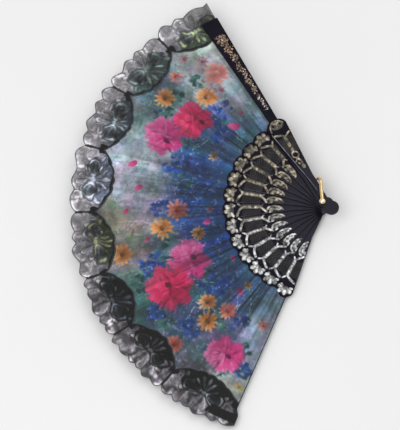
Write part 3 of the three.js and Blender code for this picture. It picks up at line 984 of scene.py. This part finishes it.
        # painted light and shade across the long pleats
        self.colour *= (1 + outer * (0.62 + 0.25 * self.rear) * (ray_shade_and_relief - 0.5))[:, None]
        self.relief += outer * 0.35 * ray_shade_and_relief

    def light(self):
        """The uneven light of puckered thread, and the darker inner halves of the rear lobes."""
        light = LOBE_LIGHT[self.lobe][:, None]
        pucker = cloudy(self.s, self.w, 6.5, 61) - 0.5 + 0.5 * (self.grain(1.6, 62) - 0.5)
        self.colour *= (1 + 0.85 * pucker)[:, None] * (0.72 + 0.56 * self.grain(13, 64))[:, None]
        deep = self.rear * (1 - smooth((self.w - 1.0) / 5))
        self.colour = 255 * (np.clip(self.colour, 0, 255) / 255) ** (1 + 0.5 * deep)[:, None]
        self.colour *= light + (0.9 - light) * (self.rear - deep)[:, None]
        self.cover += (0.93 - self.cover) * 0.75 * self.rear
        # the tip by the front guard is darker
        tip = smooth((33.0 - np.degrees(self.angle)) / 5) * smooth((self.r - 214) / 6)
        self.colour *= (1 - tip * (0.2 + 0.5 * self.grain(4.0, 66)))[:, None]

    def cords(self):
        """Dark cords round each lobe, heavier at the cusps, and a bar across the rear end."""
        to_side = np.minimum(self.t, 1 - self.t) * 2 * self.half
        band = 1.9 + 3.4 * self.grain(6.0, 41)
        self.lay(smooth((band - (self.r - self.inner)) / 1.4), (9, 13, 17), 0.98, 0.3)
        self.lay(smooth((1.3 + 0.8 * self.speckle - to_side) / 0.7), (18, 18, 22), 0.92, 0.2)
        cusp = np.hypot(to_side, self.r - 211.0)
        self.lay(smooth((5.6 + 3 * self.speckle - cusp) / 1.6), (5, 7, 10), 0.99, 0.35)
        self.lay(0.6 * smooth((1.0 - (self.outer - self.r)) / 0.6), OUTLINE, 0.9, 0.3)
        at_end = np.degrees(self.angle) > 149.0 + 2 * self.speckle
        self.lay(smooth(5.0 - np.abs(self.r - 224.5)) * at_end, (12, 10, 11), 0.98, 0.6)

    def weave(self):
        self.colour += self.speckle[:, None] * 60
        self.shells()
        self.worked_ground()
        self.w = self.w - self.heart  # from here on, w is measured from where the ribs meet
        self.outer_petals()
        self.ribs()
        self.eyes()
        self.pleats()
        self.light()
        self.cords()


def make_lace(i):
    columns = int(FOLD * LACE_OUTER / LACE_STEP) + 1
    rows = int(LACE_DEPTH / LACE_STEP)
    u, angle = gore_angles(i, columns)
    t = np.linspace(0, 1, rows)[:, None]
    inner, outer = lace_inner_edge(angle), lace_outer_edge(angle)
    r = inner * (1 - t) + outer * t
    u, angle = np.broadcast_to(u, r.shape), np.broadcast_to(angle, r.shape)
    angle = flare(i, u, r, angle)
    x, y = (values.ravel() for values in polar(r, angle))
    lace = Lace(r.ravel(), angle.ravel())
    lace.weave()
    relief = lace.relief + pleat_relief(r, angle).ravel()
    z = gore_height(i, u, r).ravel() + LACE_RISE + THREAD_RISE * np.clip(lace.relief, 0, 1)
    shade = pleat_shade(u, r, angle).ravel()[:, None] ** 0.7
    colour = with_alpha(linear(np.clip(lace.colour * shade, 3, 245)))
    points, faces = np.stack([x, y, z], 1), grid_faces(rows, columns, flip=True)
    painted = [("thread", colour), ("cover", np.clip(lace.cover, 0.3, 1)), ("relief", relief)]
    piece = mesh_object(f"lace_gore_{i + 1:02d}", points, faces, painted, [LACE])
    cords = lace_cords(i)
    bend(piece)
    bend(cords)
    return piece


def flare(i, u, r, angle):
    """The rear end of the lace follows the guard's edge, and spreads wider beyond the guard's tip."""
    if i:
        return angle
    tip = BLADE_SPAN[1]
    over = (between(REAR_BLADE_HALF, BLADE_SPAN, r) - LACE_INSIDE_GUARD) / r
    wide = over + (REAR_LACE_MARGIN - over) * smooth((r - tip + 3) / 10)
    return np.where(u < 0, stick_angle(0) + wide * (u / np.min(u)), angle)


def tube_shape(points, radius, flat=1.0, sides=6):
    """A closed-ended tube along points, flattened in Z by flat."""
    points = np.asarray(points, float)
    along = headings(points)
    side = np.stack([-along[:, 1], along[:, 0], np.zeros(len(points))], 1)
    side /= np.linalg.norm(side, axis=1)[:, None]
    up = np.array([0, 0, 1.0])
    rings = []
    for k in range(sides):
        a = 2 * pi * k / sides
        rings.append(points + side * radius * cos(a) + up * radius * flat * sin(a))
    verts = np.stack(rings, 1).reshape(-1, 3)
    faces = []
    for j in range(len(points) - 1):
        for k in range(sides):
            a, b = j * sides + k, j * sides + (k + 1) % sides
            faces.append((a, b, b + sides, a + sides))
    faces.append(tuple(range(sides))[::-1])
    faces.append(tuple(range((len(points) - 1) * sides, len(points) * sides)))
    return verts, faces, np.ones(len(verts))


class Builder:
    """Gathers small shapes into one mesh, with the gilding at each point. The gilding is low on the flanks,
    where it also paints shade, and share leaves less of it.
    """

    def __init__(self):
        self.points, self.faces, self.index, self.gild, self.count = [], [], [], [], 0

    def add(self, shape, share=1.0, material=0):
        points, faces, gild = shape
        self.points.append(np.asarray(points, float))
        self.gild.append(share * np.asarray(gild, float))
        self.faces += [tuple(v + self.count for v in face) for face in faces]
        self.index += [material] * len(faces)
        self.count += len(points)

    def dome(self, *place, **finish):
        self.add(dome_shape(*place), **finish)

    def ridge(self, *place, **finish):
        self.add(ridge_shape(*place), **finish)

    def build(self, name, materials, turn=0.0, side=None):
        points = np.vstack(self.points)
        x, y = points[:, 0].copy(), points[:, 1].copy()
        if side is not None:
            y += side(x)
        points[:, 0], points[:, 1] = x * cos(turn) - y * sin(turn), x * sin(turn) + y * cos(turn)
        gild = [("gild", np.hstack(self.gild))]
        return mesh_object(name, points, self.faces, gild, materials, self.index)


def lace_cords(i):
    """The corded outlines of the lace's inner and outer edges."""
    builder = Builder()
    u, angle = gore_angles(i, CORD_POINTS)
    for rim, (edge, inset, radius, flat) in enumerate(CORD_RUNS):
        r = edge(angle) + inset
        x, y = polar(r, flare(i, u, r, angle))
        z = gore_height(i, u, r) + LACE_RISE + radius * flat * 0.4 + CORD_RISE
        builder.add(tube_shape(np.stack([x, y, z], 1), radius, flat), material=rim)
    return builder.build(f"lace_cord_{i + 1:02d}", [CORD, RIM_CORD])


# ---------------- relief on the sticks
def dome_shape(cx, cy, z, long, wide, high, angle, segments=12, rings=4):
    """A low oval bead: points, faces and how far up its flank each point is."""
    points, faces, gild = [(cx, cy, z + high)], [], [1.0]
    for k in range(1, rings + 1):
        a = pi / 2 * k / rings
        for j in range(segments):
            b = 2 * pi * j / segments
            px, py = long * sin(a) * cos(b), wide * sin(a) * sin(b)
            x, y = cx + px * cos(angle) - py * sin(angle), cy + px * sin(angle) + py * cos(angle)
            points.append((x, y, z + high * cos(a)))
            gild.append(cos(a))
    for j in range(segments):
        faces.append((0, 1 + j, 1 + (j + 1) % segments))
        for k in range(rings - 1):
            a, b = 1 + k * segments + j, 1 + k * segments + (j + 1) % segments
            faces.append((a, a + segments, b + segments, b))
    return points, faces, gild


def ridge_shape(path, z, width, high, sides=7):
    """A half-round ridge along a path in the plane, with rounded ends."""
    path = np.asarray(path, float)
    along = headings(path)
    side = np.stack([-along[:, 1], along[:, 0]], 1)
    rows = [(path[0] - along[0] * width / 2, side[0], 0.02)]
    rows += [(p, s, 1.0) for p, s in zip(path, side)]
    rows.append((path[-1] + along[-1] * width / 2, side[-1], 0.02))
    points, faces, gild = [], [], []
    for p, s, scale in rows:
        for k in range(sides):
            a = pi * k / (sides - 1)
            offset = s * width / 2 * cos(a) * scale
            points.append((p[0] + offset[0], p[1] + offset[1], z + high * sin(a) * scale))
            gild.append(sin(a) * scale)
    for j in range(len(rows) - 1):
        for k in range(sides - 1):
            a = j * sides + k
            faces.append((a, a + 1, a + sides + 1, a + sides))
    return points, faces, gild


def curve(points, steps=8):
    """A smooth path through points."""
    points = np.asarray(points, float)
    padded = np.vstack([2 * points[0] - points[1], points, 2 * points[-1] - points[-2]])
    out = []
    for k in range(len(points) - 1):
        p0, p1, p2, p3 = padded[k:k + 4]
        for t in np.linspace(0, 1, steps, endpoint=False):
            out.append(0.5 * (2 * p1 + (p2 - p0) * t + (2 * p0 - 5 * p1 + 4 * p2 - p3) * t ** 2
                              + (3 * p1 - p0 - 3 * p2 + p3) * t ** 3))
    out.append(points[-1])
    return np.array(out)


GILT, DARK, RIM_HIGHLIGHT, NET = range(4)  # the materials of a stick's ornament


def end_shell(b, x, z, high):
    """The shell at a stick's outer end: fat lobes in a crescent over a duller boss."""
    b.dome(x + 4.2, 0.4, z, 4.2, 5.6, high * 0.55, 0, 18, 6, share=0.6)
    for a, reach, long, wide in ((-1.2, 5.0, 3.2, 2.2), (-0.5, 6.4, 3.5, 2.3), (0.2, 6.6, 3.4, 2.3),
                                 (0.9, 6.2, 3.6, 2.4)):
        b.dome(*beyond(x, 0, reach, a), z + high * 0.1, long, wide, high, a, 14, 5)
    b.dome(x + 1.2, 5.4, z, 2.6, 1.6, high * 0.8, 1.9)
    b.dome(x - 0.2, -3.9, z, 1.9, 1.2, high * 0.5, -2.2, share=0.8)


def guard_shell(b, x, z, high):
    """The front guard's end: a thin rim round a dull boss, with a pale knob between two dark dots."""
    rim = [(x + 9.2 * cos(a), 7.8 * sin(a)) for a in np.linspace(-1.05, 1.6, 22)]
    b.ridge(rim, z, 1.6, high)
    b.dome(x + 4.2, 0, z, 4.4, 6.8, high * 0.5, 0, 20, 6, share=0.55)
    for way in (-1, 1):
        b.dome(x + 4.6, 3.6 * way, z + high * 0.3, 1.3, 1.2, high * 0.5, 0, material=DARK)
        b.dome(x + 7.0, 2.2 * way, z + high * 0.2, 1.9, 1.0, high * 0.6, 0.8 * way)
    b.dome(x + 3.2, 0, z + high * 0.3, 2.0, 1.9, high, 0, 14, 5)


def stick_ornament(name, z, half_at, high, materials, turn, end, side=None):
    """Gilt relief of one stick, from its shell at the outer end to the hooked leaf by the neck.
    Only the front guard has a side: its shell has a rim, and its bar leads to a ring."""
    b = Builder()
    slope = -0.036  # the bar leans towards the edge that faces the front guard
    shift = 2.3 if side else 0.0

    def bar_at(r):
        return slope * r + shift

    base = end - 10.0
    if side:
        guard_shell(b, base - 0.6, z, high)
    else:
        end_shell(b, base - 0.4, z, high)
    fork, foot = 74.5, 57.5  # where the bar splits, at its outer and its inner end
    b.ridge(curve([(fork, bar_at(fork)), (fork + 2.9, 1.4), (79.5, half_at(79) - 1.4)]), z, 2.7, high)
    b.ridge(curve([(fork, bar_at(fork)), (78.4, -half_at(78) + 1.4)]), z, 2.2, high * 0.9)
    b.ridge([(r, bar_at(r)) for r in np.linspace(fork, foot, 12)], z, 3.8, high * 0.6, share=0.85)
    for k, r in enumerate(np.linspace(foot + 0.9, fork - 0.9, 6)):
        lean = 0.35 * sin(5.0 * k + turn * 9)
        wide = 1.35 + 0.25 * sin(2.0 * k + turn * 5)
        b.dome(r, bar_at(r) + 0.25 * sin(3.0 * k), z + high * 0.25, 1.9, wide, high * 0.85, lean, 12, 4)
    if side:
        ring = [(54.4 + 3.4 * cos(a), bar_at(54) + 3.0 * sin(a)) for a in np.linspace(0, 2 * pi, 21)]
        b.ridge(ring, z, 1.9, high, share=0.85)
        upper = [(50.6, bar_at(50) + 0.6), (48.6, 2.2), (47.6, half_at(48) - 1.8)]
        b.ridge(curve(upper), z, 1.7, high * 0.9)
        b.ridge(curve([(50.2, bar_at(50)), (46.6, -1.0), (43.6, -0.8)]), z, 2.3, high * 0.9)
        b.dome(40.6, -0.4, z, 3.0, 2.1, high, 0.2)
        b.dome(45.0, 1.6, z, 2.2, 1.1, high * 0.6, 0.5, share=0.7)
    else:
        b.ridge(curve([(foot, bar_at(foot)), (54.2, 0.9), (51.4, half_at(51) - 1.3)]), z, 2.6, high)
        b.ridge(curve([(foot, bar_at(foot)), (54.6, -half_at(54) + 1.4)]), z, 1.9, high * 0.8)
        hook = [(51.2, 1.4), (49.6, -1.0), (46.2, -2.1), (42.0, -1.8), (38.6, -0.5), (36.2, 1.5)]
        b.ridge(curve(hook), z, 2.3, high)
        for x, y, long, wide, share in ((46.8, 0.8, 3.0, 1.9, 0.95), (42.8, 0.6, 2.8, 1.8, 0.9),
                                        (39.6, 1.5, 2.2, 1.2, 0.85), (47.8, 3.3, 2.4, 1.3, 0.9)):
            b.dome(x, y, z, long, wide, high * 0.7, 0.25, 12, 4, share=share)
    # the pale line along the stick's edge is a painted highlight
    edge = [(r, half_at(r) - 0.32) for r in np.linspace(13, 82, 24)]
    b.ridge(edge, z, 0.6 if side else 0.4, 0.14, 5, material=RIM_HIGHLIGHT)
    lattice(b, z, bar_at, half_at)
    return b.build(name, materials, turn, side)


def lattice(b, z, bar_at, half_at):
    """Fine black net moulded on the panels on both sides of the bar: crossing slanted lines."""
    first, last, pitch, reach = 57, 75, 2.0, 5.0
    for low, high in ((lambda r: bar_at(r) + 1.8, lambda r: half_at(r) - 0.8),
                      (lambda r: -half_at(r) + 0.8, lambda r: bar_at(r) - 1.8)):
        for start in np.arange(50, last + 1, pitch):
            for upward in (True, False):
                path = []
                for t in np.linspace(0, 1, 5):
                    r = start + reach * t
                    if first <= r <= last:
                        path.append((r, low(r) + (high(r) - low(r)) * (t if upward else 1 - t)))
                if len(path) > 1:
                    b.ridge(path, z, 0.42, 0.14, 3, material=NET)


# Distance from the rivet, place across the blade, and radius, from a rose near the tip to the shoulder
FOIL_FLOWERS = [
    (191.5, 0.9, 5.4), (180, 0.6, 3.9), (170.5, -0.2, 3.4), (160, 0.7, 2.6), (150.5, -0.3, 2.5),
    (141.5, 0.6, 2.8), (133, -0.2, 2.5), (124.5, 0.5, 1.9), (116.5, 0.1, 1.7),
]
LOOSE_PETALS = 200
FOIL_SPAN = (108, 197)
GOLD, ROSE, SILVER, FILM = range(4)  # the spray's materials


def guard_foil():
    """A foil spray on the front guard's blade: flowers, loose petals between them and two wavy stems."""
    b = Builder()
    low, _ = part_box("front_guard")
    z = low.z / MM + BLADE_THICK
    rng = np.random.default_rng(12)
    for r, y, size in FOIL_FLOWERS:
        turn = rng.uniform(0, pi)
        for ring, (count, reach, petal) in enumerate(((7, 0.72, 0.46), (5, 0.34, 0.34))):
            for k in range(count):
                a = turn + 2 * pi * k / count + 0.3 * ring
                long = size * petal
                b.dome(*beyond(r, y, size * reach, a), z, long, long * 0.6, 0.14 + 0.06 * ring, a, 8, 3,
                       material=GOLD if rng.random() < 0.55 else ROSE)
        b.dome(r, y, z, size * 0.2, size * 0.2, 0.3, 0, 8, 3, material=SILVER)
        b.dome(r - size * 0.3, y, z, size * 1.15, size * 0.72, 0.09, 0.2, 16, 3, material=FILM)
    for _ in range(LOOSE_PETALS):
        r = rng.uniform(*FOIL_SPAN)
        reach = between((1.4, 3.2), (110, 197), r)
        y = 0.5 + rng.normal(0, reach * 0.6)
        if abs(y) > between(FRONT_BLADE_HALF, BLADE_SPAN, r) - 1.5:
            continue
        material = SILVER  # more of it towards the shoulder
        if rng.random() >= 1.1 - (r - FOIL_SPAN[0]) / 60:
            material = ROSE if rng.random() < 0.5 else GOLD
        b.dome(r, y, z, rng.uniform(0.6, 1.6), rng.uniform(0.3, 0.6), 0.13, rng.uniform(0, pi), 8, 3,
               material=material)
    for offset in (-1.2, 0.9):
        stem = [(r, 0.4 + offset * sin(r * 0.09)) for r in np.linspace(112, 194, 40)]
        b.ridge(stem, z, 0.5, 0.13, 5, material=ROSE)
    foils = [foil("foil_gold", (0.33, 0.235, 0.14)), foil("foil_rose", (0.31, 0.195, 0.16)),
             foil("foil_silver", (0.5, 0.46, 0.45)), foil("foil_film", (0.115, 0.08, 0.062))]
    piece = b.build("guard_foil_spray", foils, stick_angle(STICKS - 1),
                    lambda x: between(FRONT_BLADE_SIDE, BLADE_SPAN, x) - 1.3)
    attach(piece, "front_guard")


def foil(name, colour):
    """Crinkled metal foil."""
    base = np.array(colour)
    m = Nodes(name, Metallic=0.8)
    cloud = m.noise(600.0, detail=5.0)
    tones = [(0.42, base * 0.08), (0.54, base * 0.7), (0.7, np.minimum(base * 2.0, 1))]
    m.drive("Base Color", m.ramp(cloud, tones))
    m.drive("Roughness", m.spread(cloud, 0.42, 0.22))
    m.drive("Normal", m.bump(m.noise(2000.0), 0.00005))
    return m.material


def make_ornament(i):
    """The relief of stick i, from the material to the body that it rides on."""
    body = body_of(i)
    low, high = (corner.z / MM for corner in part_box(body))
    front = i == STICKS - 1
    guard = front or i == 0
    z = high if guard else low + PLATE_THICK
    end = GUARD_RELIEF_END if guard else STICK_RELIEF_END
    halves = FRONT_GUARD_HALF if front else REAR_GUARD_HALF if guard else STICK_HALF
    gilding = gilt(f"gilt_{i:02d}", smooth((i - 2.0) / 6.0))  # from silver, behind, to gold, in front
    materials = [gilding, BLACK, FRONT_EDGE_HIGHLIGHT if front else EDGE_HIGHLIGHT, WORN_NET]
    piece = stick_ornament(f"gilt_relief_{i:02d}", z, lambda r: between(halves, STICK_SPAN, r), RELIEF_HIGH,
                           materials, stick_angle(i), end, guard_side if front else None)
    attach(piece, body)


def guard_side(x):
    """Sideways place of the front guard's middle line at distance x."""
    return np.interp(x, STICK_SPAN, FRONT_GUARD_SIDE)


# ---------------- everything together
def paint_cad():
    """Materials of the hard pieces, which keep their own shapes."""
    for name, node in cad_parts.items():
        if name.startswith(("leaf_panel", "lace_panel")):
            continue
        node.data.materials.clear()
        node.data.materials.append({"rivet": PALE_BRASS, "bail": BRASS}.get(name, BLACK))


paint_cad()
leaf = [make_leaf(i) for i in range(STICKS - 1)]
lace = [make_lace(i) for i in range(STICKS - 1)]
for i in range(STICKS):
    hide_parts(f"leaf_panel_{i:02d}")
    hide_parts(f"lace_panel_{i:02d}")
for i in range(STICKS):
    make_ornament(i)
guard_foil()
